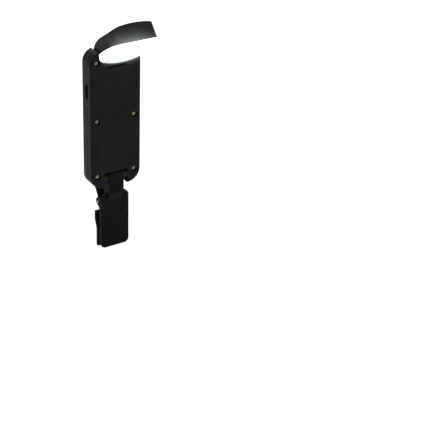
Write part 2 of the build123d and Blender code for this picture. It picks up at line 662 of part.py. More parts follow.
# Pin of the jaw
with BuildPart() as jaw_pin:
    with BuildSketch(Plane.YZ):
        with Locations((JAW_AXIS_Y, JAW_AXIS_Z)):
            Circle(JAW_PIN_R)
    extrude(amount=JAW_EAR_X + JAW_EAR_T / 2 + 0.3, both=True)
jaw_pin.part.label = "jaw_pin"
export_step(jaw_pin.part, "parts/jaw_pin.step")

# Lower jaw with its thumb lever, bowed to leave a throat for the spine of a book
JAW_BACK_Y = REAR_JAW_Y + LEVER_T / 2
THROAT_Y = REAR_JAW_Y + 3.5
LEVER_TIP = Vector(JAW_AXIS_Y + 11.5, JAW_AXIS_Z + 13.0)
LEVER_KNEE = Vector(JAW_AXIS_Y + 4.1, JAW_AXIS_Z + 2.5)
with BuildPart() as rear_jaw:
    with BuildSketch(Plane.YZ):
        with BuildLine() as lever_line:
            FilletPolyline(
                LEVER_TIP,
                LEVER_KNEE,
                (JAW_AXIS_Y + 3.9, JAW_AXIS_Z - 2.5),
                (THROAT_Y, 17.0),
                (THROAT_Y, 12.0),
                (JAW_BACK_Y, PAD_H / 2),
                (JAW_BACK_Y, -JAW_DROP),
                radius=1.6,
            )
        trace(line_width=LEVER_T)
    extrude(amount=LEVER_W / 2, both=True)
    with BuildSketch(Plane.YZ):
        with BuildLine():
            FilletPolyline(
                (THROAT_Y, 18.5),
                (THROAT_Y, 12.0),
                (JAW_BACK_Y, PAD_H / 2),
                (JAW_BACK_Y, -JAW_DROP),
                radius=1.6,
            )
        trace(line_width=LEVER_T)
    extrude(amount=JAW_W / 2, both=True)
    for side in (-1, 1):
        with BuildSketch(Plane.YZ.offset(side * LEVER_W / 2)):
            with Locations((JAW_AXIS_Y, JAW_AXIS_Z)):
                Circle(JAW_EAR_R - 0.4)
            with Locations((JAW_AXIS_Y + 1.85, JAW_AXIS_Z)):
                Rectangle(3.7, 4.0)
        extrude(amount=-side * LUG_T)
    with BuildSketch(Plane.YZ):
        with Locations((JAW_AXIS_Y, JAW_AXIS_Z)):
            Circle(JAW_PIN_R + RUN_GAP)
    extrude(amount=JAW_W, both=True, mode=Mode.SUBTRACT)
rear_jaw.part.label = "rear_jaw"
export_step(rear_jaw.part, "parts/rear_jaw.step")

# Grip pads of both jaws
with BuildPart() as front_pad:
    with BuildSketch(Plane.XZ.offset(PAD_GAP / 2)):
        RectangleRounded(PAD_W, PAD_H, 1.5)
    extrude(amount=PAD_T)
front_pad.part.label = "front_pad"
export_step(front_pad.part, "parts/front_pad.step")

with BuildPart() as rear_pad:
    with BuildSketch(Plane.XZ.offset(-REAR_JAW_Y)):
        RectangleRounded(PAD_W, PAD_H, 1.5)
    extrude(amount=PAD_T)
rear_pad.part.label = "rear_pad"
export_step(rear_pad.part, "parts/rear_pad.step")

# Torsion spring on the jaw pin, with one arm on the frame and one on the lever
COIL_L = COIL_PITCH * COIL_TURNS
ARM_Y = JAW_AXIS_Y + COIL_R
LEVER_RUN = (LEVER_TIP - LEVER_KNEE).normalized()
LEVER_TOUCH = (LEVER_TIP + LEVER_KNEE) * 0.5 + Vector(-LEVER_RUN.Y, LEVER_RUN.X) * (LEVER_T / 2 + WIRE_R)
coil_points = []
for step in range(COIL_TURNS * COIL_STEPS + 1):
    turn = 2 * math.pi * step / COIL_STEPS
    along = COIL_PITCH * step / COIL_STEPS - COIL_L / 2
    coil_points.append((along, JAW_AXIS_Y + COIL_R * math.cos(turn), JAW_AXIS_Z + COIL_R * math.sin(turn)))
with BuildPart() as jaw_spring:
    with BuildLine() as wire:
        Polyline(
            (-COIL_L / 2, FRONT_JAW_Y + WIRE_R, JAW_AXIS_Z - 6.5),
            (-COIL_L / 2, ARM_Y - 0.5, JAW_AXIS_Z - 3.5),
            *coil_points,
            (COIL_L / 2, ARM_Y, JAW_AXIS_Z + 3.5),
            (COIL_L / 2, LEVER_TOUCH.X, LEVER_TOUCH.Y),
        )
    with BuildSketch(Plane(origin=wire.line @ 0, z_dir=wire.line % 0)):
        Circle(WIRE_R)
    sweep(path=wire.line, transition=Transition.RIGHT)
jaw_spring.part.label = "jaw_spring"
export_step(jaw_spring.part, "parts/jaw_spring.step")
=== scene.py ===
# %% [markdown]
# # Finishing a clip-on reading light
#
# The solid model of the light is already built and packed. This notebook gives every piece
# its finish, replaces a few small things that plain solids describe poorly, lights the object
# like a catalogue picture and sets the camera where the photograph's camera stood. The object
# is small, 38 mm wide and 17 cm tall with its clip, so every texture is scaled from real
# millimetres. The box round the solids is noted first, because dressing must not change it.

# %% Start
import math

import bpy
from mathutils import Matrix, Vector

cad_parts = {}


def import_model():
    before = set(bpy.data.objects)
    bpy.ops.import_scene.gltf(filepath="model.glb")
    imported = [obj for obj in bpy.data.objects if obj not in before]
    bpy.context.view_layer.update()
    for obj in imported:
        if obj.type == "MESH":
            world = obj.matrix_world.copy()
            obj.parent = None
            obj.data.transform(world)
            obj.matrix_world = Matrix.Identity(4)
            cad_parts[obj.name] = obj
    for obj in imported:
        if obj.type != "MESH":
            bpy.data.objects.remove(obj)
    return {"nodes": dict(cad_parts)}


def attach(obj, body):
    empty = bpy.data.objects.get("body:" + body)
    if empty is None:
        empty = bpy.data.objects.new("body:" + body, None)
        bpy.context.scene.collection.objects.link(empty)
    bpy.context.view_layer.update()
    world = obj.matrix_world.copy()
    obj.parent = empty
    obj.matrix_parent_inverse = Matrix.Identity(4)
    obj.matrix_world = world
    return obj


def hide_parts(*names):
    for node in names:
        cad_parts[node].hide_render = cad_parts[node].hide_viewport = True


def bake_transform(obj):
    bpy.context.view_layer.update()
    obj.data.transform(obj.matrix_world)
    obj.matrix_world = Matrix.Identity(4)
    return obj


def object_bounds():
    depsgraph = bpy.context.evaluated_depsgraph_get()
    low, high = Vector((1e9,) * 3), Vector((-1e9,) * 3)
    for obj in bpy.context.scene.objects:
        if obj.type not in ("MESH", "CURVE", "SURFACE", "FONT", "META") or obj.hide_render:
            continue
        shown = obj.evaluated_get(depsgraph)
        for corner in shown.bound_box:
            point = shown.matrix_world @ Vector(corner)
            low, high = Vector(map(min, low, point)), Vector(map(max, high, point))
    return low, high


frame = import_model()
cad_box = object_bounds()
MM = 0.001
print("CAD box in mm:", [[round(v / MM, 1) for v in corner] for corner in cad_box])

# %% [markdown]
# ## Colour
# A colour is read off a screen as an sRGB hex value, but a shader works in linear light. Each
# one could be converted by hand. Then nobody could compare it with the object again, so the
# hex values stay in the script and one function converts them.

# %% Hex to linear light
def linear(hex_colour):
    """The curve of the sRGB standard, undone."""
    channels = [int(hex_colour[i : i + 2], 16) / 255 for i in (1, 3, 5)]
    return [c / 12.92 if c <= 0.04045 else ((c + 0.055) / 1.055) ** 2.4 for c in channels] + [1.0]


print("#808080 in linear light:", round(linear("#808080")[0], 3))

# %% [markdown]
# ## Nodes and materials
# A material is a net of nodes. In the editor its links are drawn by hand, and in a script each
# has to be named. One function adds a node, fills in its inputs and hands back the output that
# the next node needs, so a material reads from top to bottom, like a recipe. What is the same
# all over a surface needs no net: it goes straight on the shader.

# %% Adding a node, starting a material
def node(tree, kind, output, settings=None, **inputs):
    """Adds a node and gives back one of its outputs. An input is a value or such an output."""
    made = tree.nodes.new("ShaderNode" + kind)
    for name, value in (settings or {}).items():
        setattr(made, name, value)
    for name, value in inputs.items():
        numbered = name[0] == "i" and name[1:].isdigit()
        socket = made.inputs[int(name[1:]) if numbered else name.replace("_", " ")]
        if isinstance(value, bpy.types.NodeSocket):
            tree.links.new(value, socket)
        else:
            socket.default_value = value
    return made.outputs[output]


def material(name, **uniform):
    """A new material and its tree. Values that are the same all over go on its shader."""
    made = bpy.data.materials.new(name)
    made.use_nodes = True
    shader = made.node_tree.nodes["Principled BSDF"]
    for key, value in uniform.items():
        shader.inputs[key.replace("_", " ")].default_value = value
    return made, made.node_tree


def drive(made, **channels):
    """Links outputs of nodes to the inputs of the material's shader."""
    shader = made.node_tree.nodes["Principled BSDF"]
    for key, output in channels.items():
        made.node_tree.links.new(output, shader.inputs[key.replace("_", " ")])


def per(size_mm):
    """The scale at which the blobs of a pattern are about this size."""
    return 1 / (size_mm * MM)


print("scale for blobs of 0.2 mm:", round(per(0.2)))

# %% [markdown]
# ## Moulded plastics
# The housing is black ABS from a spark-eroded mould. Close to, its face has a grain about
# 0.2 mm across and a few hundredths of a millimetre deep, which spreads the highlights into
# the soft grey sheen of the photograph. Handling polishes it unevenly over centimetres, and
# the edges, which rub in a bag, go a little greyer. A painted image could carry all of that,
# but noise at the real sizes needs no unwrapping and stays sharp from near and far. In the
# main view a grain is smaller than a pixel, and shows only as that sheen.

# %% Grain, patches and worn edges
COLOURS, TIMES = {"data_type": "RGBA"}, {"operation": "MULTIPLY"}
# Noise hardly leaves 0.3 to 0.7. Stretching that span, or its core, uses the whole change.
NOISE_SPAN = {"From_Min": 0.3, "From_Max": 0.7}
NOISE_CORE = {"From_Min": 0.35, "From_Max": 0.65}
TONE_PATCH_MM = 14.0
SCUFF_MM, SCUFFED_PARTS, WORN_GREY = 1.2, {"From_Min": 0.4, "From_Max": 0.7}, "#2A2A2C"
SHARP_EDGES = {"From_Min": 0.52, "From_Max": 0.6, "To_Max": 0.3}
HANDLING_MM, HANDLED_SMOOTHER, HANDLED_ROUGHER = 22.0, 0.05, 0.06


def moulded(name, dark, light, rough, grain_mm, depth_mm, gloss=0.11):
    made, tree = material(name, Specular_IOR_Level=gloss)
    where = node(tree, "TexCoord", "Object")
    cloud = node(tree, "TexNoise", "Fac", Vector=where, Scale=per(TONE_PATCH_MM))
    patch = node(tree, "MapRange", "Result", Value=cloud, **NOISE_CORE)
    base = node(tree, "Mix", "Result", COLOURS, Factor=patch, A=linear(dark), B=linear(light))

    edge = node(tree, "NewGeometry", "Pointiness")
    rubbed = node(tree, "MapRange", "Result", Value=edge, **SHARP_EDGES)
    scuffs = node(tree, "TexNoise", "Fac", Vector=where, Scale=per(SCUFF_MM), Detail=4.0)
    uneven = node(tree, "MapRange", "Result", Value=scuffs, **SCUFFED_PARTS)
    scuffed = node(tree, "Math", "Value", TIMES, i0=rubbed, i1=uneven)
    worn = node(tree, "Mix", "Result", COLOURS, Factor=scuffed, A=base, B=linear(WORN_GREY))

    handled = node(tree, "TexNoise", "Fac", Vector=where, Scale=per(HANDLING_MM), Detail=3.0)
    polish = node(
        tree, "MapRange", "Result", Value=handled, **NOISE_SPAN,
        To_Min=rough - HANDLED_SMOOTHER, To_Max=rough + HANDLED_ROUGHER,
    )
    grain = node(
        tree, "TexNoise", "Fac", Vector=where, Scale=per(grain_mm), Detail=3.0, Roughness=0.6
    )
    relief = node(tree, "Bump", "Normal", Height=grain, Distance=depth_mm * MM, Strength=0.6)
    drive(made, Base_Color=worn, Roughness=polish, Normal=relief)
    return made


print("tone patches of", TONE_PATCH_MM, "mm, scuffs of", SCUFF_MM, "mm")

# %% [markdown]
# One recipe makes all the black plastics, because they differ only in colour, gloss and grain.
# The numbers are the roughness, the size and the depth of the grain, and the gloss. Typical
# values for ABS came first, and the gloss then went down until the black was as deep as the
# real one beside the lit panel.

# %% Six black plastics
# ABS, spark-eroded finish: satin black, with highlights that spread to a soft grey.
# The painted light on its scoop is added further down.
COVER_ABS = moulded("moulded_abs_cover", "#0B0B0C", "#111114", 0.42, 0.22, 0.02)
# The same finish on the side that faces the key lamp: more gloss gives a paler sheen along the
# slab, and a base a shade paler than the cover's is painted light.
SHELL_ABS_PAINTED_LIGHT = moulded("moulded_abs_shell_painted_light", "#0C0C0E", "#131316", 0.46, 0.22, 0.02, gloss=0.16)
# ABS, finer finish: the arch of the hood reads by one even, soft highlight.
# The painted glow above its rim is added further down.
HOOD_ABS = moulded("moulded_abs_hood", "#0B0B0C", "#111113", 0.42, 0.18, 0.015, gloss=0.12)
# Nylon, coarser finish: a flat, deeper black that hardly shines.
CLIP_NYLON = moulded("moulded_nylon_clip", "#070708", "#0B0B0C", 0.5, 0.3, 0.03, gloss=0.06)
# ABS, polished by fingers, with almost no sheen and a base darker than the cover's as painted
# shade of the slot: the bar is a dark line in its slot.
BAR_ABS_PAINTED_SHADE = moulded("polished_abs_bar_painted_shade", "#08080A", "#0C0C0E", 0.28, 0.12, 0.006, gloss=0.01)
# Acetal, turned: a waxy dark grey.
BUSH_ACETAL = moulded("acetal_bush", "#1D1D1D", "#262626", 0.38, 0.2, 0.005)
print("nodes in the cover's finish:", len(COVER_ABS.node_tree.nodes))

# %% [markdown]
# ## Distances for the glow
# The lit panel is far brighter than anything round it, and the light that it throws on the
# plastic beside it falls off over millimetres. Ray tracing could show that, but on black it
# takes a much stronger panel, whose edge then turns ragged. So the two plastics beside it glow
# by themselves, by how far a point is from the panel. The distances are measured along plain
# directions from the hinge axis of the head, because the rim of the hood and the scoop in the
# cover are simple arcs in those directions.

# %% Measuring from the hinge of the head
HINGE_Z = 0.1373
MINUS, DOT = {"operation": "SUBTRACT"}, {"operation": "DOT_PRODUCT"}
LARGER, EXPONENT = {"operation": "MAXIMUM"}, {"operation": "EXPONENT"}


def along(tree, direction):
    """Distance in mm from the hinge axis of the head along a direction."""
    where = node(tree, "TexCoord", "Object")
    from_hinge = node(tree, "VectorMath", "Vector", MINUS, i0=where, i1=(0, 0, HINGE_Z))
    per_mm = tuple(part / MM for part in direction)
    return node(tree, "VectorMath", "Value", DOT, i0=from_hinge, i1=per_mm)


def fading(tree, distance, over_mm):
    """One at distance zero or less, and about a third of it after every over_mm."""
    beyond = node(tree, "Math", "Value", LARGER, i0=distance, i1=0.0)
    steps = node(tree, "Math", "Value", TIMES, i0=beyond, i1=-1 / over_mm)
    return node(tree, "Math", "Value", EXPONENT, i0=steps)


def glow_by(made, amount, brightest):
    """Paints a glow on a plastic, by an amount from zero to one."""
    tree = made.node_tree
    black = linear("#000000")
    lit = node(tree, "Mix", "Result", COLOURS, Factor=amount, A=black, B=linear(brightest))
    tree.nodes["Principled BSDF"].inputs["Emission Strength"].default_value = 1.0
    drive(made, Emission_Color=lit)


print("hinge of the head at", HINGE_Z / MM, "mm")

# %% [markdown]
# ## Painted glow above the rim of the hood
# The hood is only 1.4 mm thick. Its plastic is given a painted glow above the rim, light of
# its own that stands in for the light and glare of the panel on it. The glow fills the end wall
# of the hood, dies away within a centimetre of height, fades toward the right and hardly
# reaches along the sides. Seen along the head, the rim drops away from the hinge axis on a
# shallow curve, and a parabola follows it closely enough.

# %% Painted glow of the hood
PLUS, POWER = {"operation": "ADD"}, {"operation": "POWER"}
TIMES_PLUS = {"operation": "MULTIPLY_ADD"}
HEAD_ANGLE = math.radians(42)
RIM_DROP, RIM_SLOPE, RIM_BEND = 0.65, 0.0403, 0.0032
# Painted glow: its brightest grey, and the height over which it fades.
RIM_FADE_MM, PAINTED_RIM_GLOW_GREY = 3.3, "#8F9591"
TO_THE_RIGHT = {"From_Min": 3.0, "From_Max": 18.0, "To_Min": 1.0, "To_Max": 0.15}
TO_THE_TIP = {"From_Min": 21.0, "From_Max": 34.5, "To_Min": 0.1}


def paint_rim_glow(made):
    tree = made.node_tree
    reach = along(tree, (0, -math.cos(HEAD_ANGLE), math.sin(HEAD_ANGLE)))
    rise = along(tree, (0, math.sin(HEAD_ANGLE), math.cos(HEAD_ANGLE)))
    slope = node(tree, "Math", "Value", TIMES_PLUS, i0=reach, i1=RIM_BEND, i2=RIM_SLOPE)
    bent = node(tree, "Math", "Value", TIMES_PLUS, i0=reach, i1=slope, i2=rise)
    height = node(tree, "Math", "Value", PLUS, i0=bent, i1=RIM_DROP)
    upward = fading(tree, height, RIM_FADE_MM)
    rightward = node(
        tree, "MapRange", "Result", Value=along(tree, (1, 0, 0)), **TO_THE_RIGHT
    )
    outward = node(tree, "MapRange", "Result", Value=reach, **TO_THE_TIP)
    end_wall = node(tree, "Math", "Value", POWER, i0=outward, i1=2.0)
    sideways = node(tree, "Math", "Value", TIMES, i0=end_wall, i1=rightward)
    amount = node(tree, "Math", "Value", TIMES, i0=upward, i1=sideways)
    glow_by(made, amount, PAINTED_RIM_GLOW_GREY)


# The hood's plastic takes the painted glow.
paint_rim_glow(HOOD_ABS)
print("nodes in the hood's finish:", len(HOOD_ABS.node_tree.nodes))

# %% [markdown]
# ## Painted light on the scoop of the cover
# The scoop is cut to an arc of a circle, so the distance from its middle tells how far a point
# is from the edge. Its wall lies right beside the panel, and a painted light washes it out to
# white and fades over a millimetre or two of the face below the edge. It is weakest at the ear
# and strongest at the right end.

# %% Painted light on the scoop
SCOOP_MIDDLE, SCOOP_RADIUS = (5.05, 185.12), 52.82
ROOT = {"operation": "SQRT"}
# Painted light: its white, and the distances over which it fades on the face and on the wall.
FACE_FADE_MM, WALL_FADE_MM, PAINTED_SCOOP_LIGHT = 1.0, 0.15, "#E6F0EB"
FROM_THE_EAR = {"From_Min": -12.0, "From_Max": -4.0, "To_Max": 0.15}
TO_THE_RIGHT_END = {"From_Min": -4.0, "From_Max": 18.0, "To_Max": 0.08}
BEHIND_THE_FACE = {"From_Min": -5.9, "From_Max": -5.6, "To_Max": 5.0}


def outside_scoop(tree):
    """Distance in mm from the arc of the scoop, above zero on the face below it."""
    below = SCOOP_MIDDLE[1] - HINGE_Z / MM
    across = node(tree, "Math", "Value", MINUS, i0=along(tree, (1, 0, 0)), i1=SCOOP_MIDDLE[0])
    down = node(tree, "Math", "Value", MINUS, i0=along(tree, (0, 0, 1)), i1=below)
    across_squared = node(tree, "Math", "Value", TIMES, i0=across, i1=across)
    squares = node(tree, "Math", "Value", TIMES_PLUS, i0=down, i1=down, i2=across_squared)
    radius = node(tree, "Math", "Value", ROOT, i0=squares)
    return node(tree, "Math", "Value", MINUS, i0=radius, i1=SCOOP_RADIUS)


def paint_scoop_light(made):
    tree = made.node_tree
    outside = outside_scoop(tree)
    to_side, deep = along(tree, (1, 0, 0)), along(tree, (0, 1, 0))
    left = node(tree, "MapRange", "Result", Value=to_side, **FROM_THE_EAR)
    right = node(tree, "MapRange", "Result", Value=to_side, **TO_THE_RIGHT_END)
    sideways = node(tree, "Math", "Value", PLUS, i0=left, i1=right)
    behind = node(tree, "MapRange", "Result", Value=deep, **BEHIND_THE_FACE)
    on_face = fading(tree, outside, FACE_FADE_MM)
    on_wall = fading(tree, outside, WALL_FADE_MM)
    wall = node(tree, "Math", "Value", TIMES, i0=behind, i1=on_wall)
    spread = node(tree, "Math", "Value", PLUS, i0=wall, i1=on_face)
    amount = node(tree, "Math", "Value", TIMES, i0=spread, i1=sideways)
    glow_by(made, amount, PAINTED_SCOOP_LIGHT)


# The cover's plastic takes the painted light on its scoop.
paint_scoop_light(COVER_ABS)
print("nodes in the cover's finish:", len(COVER_ABS.node_tree.nodes))

# %% [markdown]
# ## Steel
# The five screws are plated steel, slightly warm, and read as small bright dots. Turning
# leaves fine rings on their heads, the pins are ground along their length, and the shell of
# the socket is drawn sheet, coloured dark grey as painted shade inside its window. Real marks
# are a few hundredths of a millimetre apart, too fine to show, so they are drawn at about a
# tenth. They could be carved or painted, but at this size they are only a stretched sheen, so
# noise squeezed in one direction does it.

# %% Streaked steel
STREAKS_SMOOTHER, STREAKS_ROUGHER, STREAK_DEPTH_MM = 0.06, 0.08, 0.004


def steel(name, dark, light, rough, streak_mm, stretch):
    made, tree = material(name, Metallic=1.0)
    place = node(tree, "TexCoord", "Object")
    where = node(tree, "Mapping", "Vector", Vector=place, Scale=stretch)
    streaks = node(
        tree, "TexNoise", "Fac", Vector=where, Scale=per(streak_mm), Detail=4.0, Roughness=0.65
    )
    tone = node(tree, "MapRange", "Result", Value=streaks, **NOISE_CORE)
    base = node(tree, "Mix", "Result", COLOURS, Factor=tone, A=linear(dark), B=linear(light))
    polish = node(
        tree, "MapRange", "Result", Value=streaks, **NOISE_SPAN,
        To_Min=rough - STREAKS_SMOOTHER, To_Max=rough + STREAKS_ROUGHER,
    )
    relief = node(
        tree, "Bump", "Normal", Height=streaks, Distance=STREAK_DEPTH_MM * MM, Strength=0.4
    )
    drive(made, Base_Color=base, Roughness=polish, Normal=relief)
    return made


# Plated and turned: a warm bright dot with a soft edge.
SCREW_STEEL = steel("plated_steel_screw", "#8D816E", "#B5AA96", 0.26, 0.12, (1.0, 0.3, 3.0))
# Ground along its length: one bright line down the pin.
PIN_STEEL = steel("ground_steel_pin", "#A2A3A5", "#CDCED0", 0.22, 0.08, (0.1, 1.0, 1.0))
# Drawn wire: grey, with a line of light along each turn.
WIRE_STEEL = steel("spring_wire", "#7D7D7F", "#B2B2B4", 0.28, 0.1, (0.4, 1.0, 1.0))
# Drawn sheet, coloured dark grey as painted shade of its window, with a thin bright lip.
PORT_STEEL_PAINTED_SHADE = steel("drawn_steel_port_painted_shade", "#3E3F41", "#5C5D60", 0.3, 0.1, (0.15, 1.0, 1.0))
print("steels:", [made.name for made in (SCREW_STEEL, PIN_STEEL, WIRE_STEEL, PORT_STEEL_PAINTED_SHADE)])

# %% [markdown]
# ## The lit panel
# Opal acrylic over a bright LED board. To the eye it is simply white, slightly cool, and
# barely brighter over each LED. A lamp behind a translucent sheet could light it as the real
# one is lit, but a sheet that gives off its own light is even, quick and free of grain. Its
# strength is only a few times white: enough to stay white in its own shade, and low enough
# that its edge against the black stays smooth.

# %% Opal acrylic, lit
PANEL_STRENGTH, LED_PATCH_MM, PEEL_MM, PEEL_DEPTH_MM = 2.6, 6.0, 0.4, 0.004
SHEET_COLOURS = {"A": linear("#E9EEF2"), "B": linear("#F6F9FB")}
LIGHT_COLOURS = {"A": linear("#EFF6FB"), "B": linear("#FFFFFF")}


def lit_panel():
    made, tree = material("opal_acrylic_lit", Roughness=0.35, Emission_Strength=PANEL_STRENGTH)
    where = node(tree, "TexCoord", "Object")
    cloud = node(tree, "TexNoise", "Fac", Vector=where, Scale=per(LED_PATCH_MM))
    over_led = node(tree, "MapRange", "Result", Value=cloud, **NOISE_SPAN)
    sheet = node(tree, "Mix", "Result", COLOURS, Factor=cloud, **SHEET_COLOURS)
    light = node(tree, "Mix", "Result", COLOURS, Factor=over_led, **LIGHT_COLOURS)
    peel = node(tree, "TexNoise", "Fac", Vector=where, Scale=per(PEEL_MM))
    relief = node(
        tree, "Bump", "Normal", Height=peel, Distance=PEEL_DEPTH_MM * MM, Strength=0.3
    )
    drive(made, Base_Color=sheet, Emission_Color=light, Normal=relief)
    return made


# Extruded acrylic: smooth and even, white wherever it is seen from.
OPAL = lit_panel()
print("panel strength:", PANEL_STRENGTH)

# %% [markdown]
# ## Circuit boards
# A board is glass laminate under a coat of solder mask, green for the main board and white
# for the LED board, and the copper tracks under the coat show as paler lanes. Real tracks
# could be drawn one by one, but nobody sees these boards whole, so a brick pattern gives the
# lanes and noise breaks them up.

# %% Solder mask over tracks
TRACK_MM, TRACK_GAP, TRACK_SHARE, MOTTLE_MM, TRACK_DEPTH_MM = 6.0, 0.03, 0.8, 0.8, 0.03
LINES_SPAN = {"From_Min": 0.3, "From_Max": 1.3}


def board(name, mask, track):
    made, tree = material(name, Roughness=0.35)
    where = node(tree, "TexCoord", "Object")
    lanes = node(
        tree, "TexBrick", "Fac", Vector=where, Scale=per(TRACK_MM), Mortar_Size=TRACK_GAP
    )
    mottle = node(tree, "TexNoise", "Fac", Vector=where, Scale=per(MOTTLE_MM), Detail=3.0)
    lines = node(tree, "Math", "Value", TIMES_PLUS, i0=lanes, i1=TRACK_SHARE, i2=mottle)
    tone = node(tree, "MapRange", "Result", Value=lines, **LINES_SPAN)
    base = node(tree, "Mix", "Result", COLOURS, Factor=tone, A=linear(mask), B=linear(track))
    relief = node(
        tree, "Bump", "Normal", Height=lines, Distance=TRACK_DEPTH_MM * MM, Strength=0.6
    )
    drive(made, Base_Color=base, Normal=relief)
    return made


# Green mask over laminate: bottle green, with paler lanes.
BOARD_GREEN = board("solder_mask_green", "#1D5A3A", "#2F7650")
# White mask over aluminium: a clean white that throws the light of the LEDs forward.
BOARD_WHITE = board("solder_mask_white", "#E4E4DF", "#F1F1EC")
print("boards:", BOARD_GREEN.name, BOARD_WHITE.name)

# %% [markdown]
# ## Resins, foam and rubber
# Chips are filled black resin, LEDs are topped with pale yellow phosphor, the light pipe is
# clear acrylic that shows the black behind it, the tape is foam with open pores, and the
# pads are soft rubber. Each could have a recipe of its own, but they differ only in colour,
# gloss and the size and depth of their texture, so one with those values makes all five.

# %% Resin, foam and rubber
SPECKS_SMOOTHER, SPECKS_ROUGHER = 0.04, 0.05


def resin(name, dark, light, rough, speck_mm=0.5, depth_mm=0.004):
    made, tree = material(name)
    where = node(tree, "TexCoord", "Object")
    speck = node(tree, "TexNoise", "Fac", Vector=where, Scale=per(speck_mm), Detail=3.0)
    tone = node(tree, "MapRange", "Result", Value=speck, **NOISE_SPAN)
    base = node(tree, "Mix", "Result", COLOURS, Factor=tone, A=linear(dark), B=linear(light))
    polish = node(
        tree, "MapRange", "Result", Value=speck, **NOISE_SPAN,
        To_Min=rough - SPECKS_SMOOTHER, To_Max=rough + SPECKS_ROUGHER,
    )
    relief = node(tree, "Bump", "Normal", Height=speck, Distance=depth_mm * MM, Strength=0.5)
    drive(made, Base_Color=base, Roughness=polish, Normal=relief)
    return made


# Filled resin: plain dull black blocks.
CHIP = resin("moulded_chip", "#151515", "#1F1F1F", 0.5)
# Phosphor in silicone: a pale, slightly wet yellow.
LED_RESIN = resin("led_phosphor", "#E8CF78", "#F3DF98", 0.3)
# Polished acrylic in a dark hole: black, with one sharp highlight.
CLEAR = resin("light_pipe_acrylic", "#0B0D0D", "#141717", 0.12)
# Open foam: a pale grey without any shine.
FOAM = resin("foam_tape", "#B9B8B1", "#D3D2CB", 0.9, speck_mm=0.35, depth_mm=0.08)
# Moulded rubber: a flat dark grey, softer to look at than the plastic beside it.
PAD_RUBBER = resin("grip_rubber", "#1C1C1C", "#2A2A2A", 0.72, speck_mm=0.5, depth_mm=0.05)
print("resins:", [made.name for made in (CHIP, LED_RESIN, CLEAR, FOAM, PAD_RUBBER)])

# %% [markdown]
# ## Battery pouch
# The cell is wrapped in laminated aluminium foil that creases when it is pressed. Creases
# could be modelled by simulation, but the pouch is shut inside the slab, so noise a few
# millimetres across that bends both the surface and its shine is enough.

# %% Creased foil
CREASE_MM, CREASE_DEPTH_MM, FOIL_SMOOTHEST, FOIL_ROUGHEST = 5.0, 0.12, 0.28, 0.42
FOIL_COLOURS = {"A": linear("#A6A9AE"), "B": linear("#C9CCD1")}


def foil():
    made, tree = material("battery_foil", Metallic=0.85)
    where = node(tree, "TexCoord", "Object")
    crease = node(
        tree, "TexNoise", "Fac", Vector=where, Scale=per(CREASE_MM), Detail=5.0, Roughness=0.6
    )
    base = node(tree, "Mix", "Result", COLOURS, Factor=crease, **FOIL_COLOURS)
    polish = node(
        tree, "MapRange", "Result", Value=crease, **NOISE_SPAN,
        To_Min=FOIL_SMOOTHEST, To_Max=FOIL_ROUGHEST,
    )
    relief = node(
        tree, "Bump", "Normal", Height=crease, Distance=CREASE_DEPTH_MM * MM, Strength=0.5
    )
    drive(made, Base_Color=base, Roughness=polish, Normal=relief)
    return made


# Laminated foil: soft silver that breaks into patches of light.
FOIL = foil()
print("foil creases of", CREASE_MM, "mm")

# %% [markdown]
# ## Dressing the pieces
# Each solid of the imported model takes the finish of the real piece. Each could be dressed by a
# line of its own, but a table is easier to check against the list of pieces.

# %% Finishes by piece
FINISHES = {
    COVER_ABS: ("front_cover",),
    SHELL_ABS_PAINTED_LIGHT: ("rear_shell",),
    HOOD_ABS: ("lamp_hood",),
    CLIP_NYLON: ("clip_frame", "rear_jaw"),
    BAR_ABS_PAINTED_SHADE: ("switch_bar", "switch_plunger"),
    BUSH_ACETAL: ("neck_bushes",),
    SCREW_STEEL: ("cover_screws",),
    PIN_STEEL: ("head_pin", "neck_pin", "jaw_pin", "friction_sleeve"),
    WIRE_STEEL: ("jaw_spring",),
    PORT_STEEL_PAINTED_SHADE: ("port_shell",),
    OPAL: ("light_panel",),
    BOARD_GREEN: ("main_board",),
    BOARD_WHITE: ("led_board",),
    CHIP: ("board_chips", "port_tongue", "tact_switch"),
    LED_RESIN: ("led_chips", "charge_led"),
    CLEAR: ("light_pipe",),
    FOAM: ("battery_tape",),
    PAD_RUBBER: ("front_pad", "rear_pad"),
    FOIL: ("battery",),
}
dressed = set()
for finish, names in FINISHES.items():
    for name in names:
        mesh = frame["nodes"][name].data
        mesh.materials.clear()
        mesh.materials.append(finish)
        dressed.add(name)
print("pieces dressed:", len(dressed), "left bare:", sorted(set(frame["nodes"]) - dressed))

# %% [markdown]
# ## Places of the cover screws
# The next pieces are drawn anew, over the five solid screws. Their places could be typed in
# from the drawing, but then the two could drift apart, so the middle of each is measured on
# the solid screws themselves.

# %% Where the screws sit
SCREW_SPAN, HEAD_SINK = 4.0, 0.9


def screw_seats():
    """Middle of each head on its seat, in millimetres, from the islands of the solid screws."""
    vertices = frame["nodes"]["cover_screws"].data.vertices
    corners = [tuple(v / MM for v in corner.co) for corner in vertices]
    spots = []
    for across, _, high in corners:
        if not any(math.hypot(across - x, high - z) < SCREW_SPAN for x, z in spots):
            near = [c for c in corners if math.hypot(across - c[0], high - c[2]) < SCREW_SPAN]
            middle = [(min(c[i] for c in near) + max(c[i] for c in near)) / 2 for i in (0, 2)]
            spots.append(tuple(middle))
    front = min(c[1] for c in corners)
    return [(x, front + HEAD_SINK, z) for x, z in sorted(spots)]


SEATS = screw_seats()
print("screw seats in mm:", [[round(v, 1) for v in seat] for seat in SEATS])

# %% [markdown]
# ## Cover screws
# The solid screws have plain disc heads. The real ones are small pan heads with a cross
# recess, and it is the dome that gives each head one bright side and one dark side. A cross
# could be cut out of a dome with a boolean. Here the head is a round grid of points whose
# height is the dome less the cross, which keeps the faces even and the edges soft. This cell
# gives the height of any point of the head, and turns points and faces into a piece.

